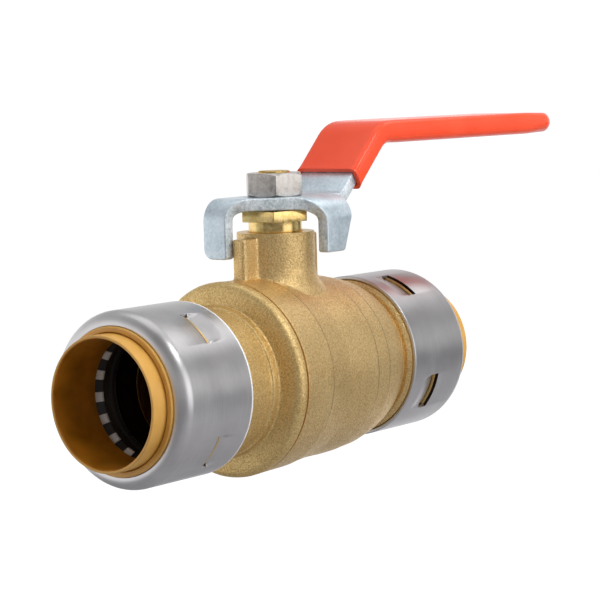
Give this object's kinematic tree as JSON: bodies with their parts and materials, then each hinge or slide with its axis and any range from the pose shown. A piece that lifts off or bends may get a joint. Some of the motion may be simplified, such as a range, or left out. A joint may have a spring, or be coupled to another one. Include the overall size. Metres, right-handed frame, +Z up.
{
  "type": "ball valve",
  "caption": "Full-port brass ball valve with push-to-connect tube ports, a vinyl-sleeved steel lever handle and sliding release collars.",
  "frame": {"origin": "centre of the ball, where the waterway axis crosses the stem axis", "axes": "+X along the waterway towards the outlet port and the handle tip, +Z up the stem"},
  "size_m": [0.1812, 0.0466, 0.0827],
  "materials": {
    "forged_brass": "sand-textured forging, satin",
    "turned_brass": "machined",
    "stainless_shell": "drawn and brushed",
    "stainless_nut": "cold-formed, satin",
    "zinc_plate": "bright zinc plated steel",
    "red_vinyl": "dip-moulded vinyl",
    "amber_plastic": "moulded acetal",
    "black_plastic": "moulded",
    "black_rubber": "moulded EPDM",
    "ptfe": "turned PTFE",
    "chrome_plate": "polished"
  },
  "bodies": {
    "body": {"valve_body": "forged_brass", "end_adapter": "turned_brass", "adapter_seal": "ptfe", "inlet_seat": "ptfe", "outlet_seat": "ptfe", "thrust_washer": "ptfe", "stem_packing": "ptfe", "packing_nut": "turned_brass", "inlet_shell": "stainless_shell", "inlet_guide": "amber_plastic", "inlet_grab_ring": "stainless_shell", "inlet_protector": "black_plastic", "inlet_o_ring": "black_rubber", "outlet_shell": "stainless_shell", "outlet_guide": "amber_plastic", "outlet_grab_ring": "stainless_shell", "outlet_protector": "black_plastic", "outlet_o_ring": "black_rubber"},
    "handle": {"handle_lever": "zinc_plate", "handle_sleeve": "red_vinyl", "handle_nut": "stainless_nut", "stem": "turned_brass"},
    "ball": {"ball": "chrome_plate"},
    "inlet_collar": {"inlet_release_collar": "amber_plastic"},
    "outlet_collar": {"outlet_release_collar": "amber_plastic"}
  },
  "joints": [
    {"name": "handle_turn", "type": "hinge", "parent": "body", "child": "handle", "pos_m": [0, 0, 0.04], "axis": [0, 0, 1], "range_deg": [-90, 0]},
    {"name": "ball_turn", "type": "hinge", "parent": "body", "child": "ball", "pos_m": [0, 0, 0], "axis": [0, 0, 1], "range_deg": [-90, 0]},
    {"name": "inlet_release", "type": "slide", "parent": "body", "child": "inlet_collar", "axis": [1, 0, 0], "range_m": [0, 0.002], "stiffness_N_per_m": 800},
    {"name": "outlet_release", "type": "slide", "parent": "body", "child": "outlet_collar", "axis": [-1, 0, 0], "range_m": [0, 0.002], "stiffness_N_per_m": 800}
  ],
  "couplings": [
    {"joint": "ball_turn", "follows": "handle_turn", "ratio": 1}
  ]
}
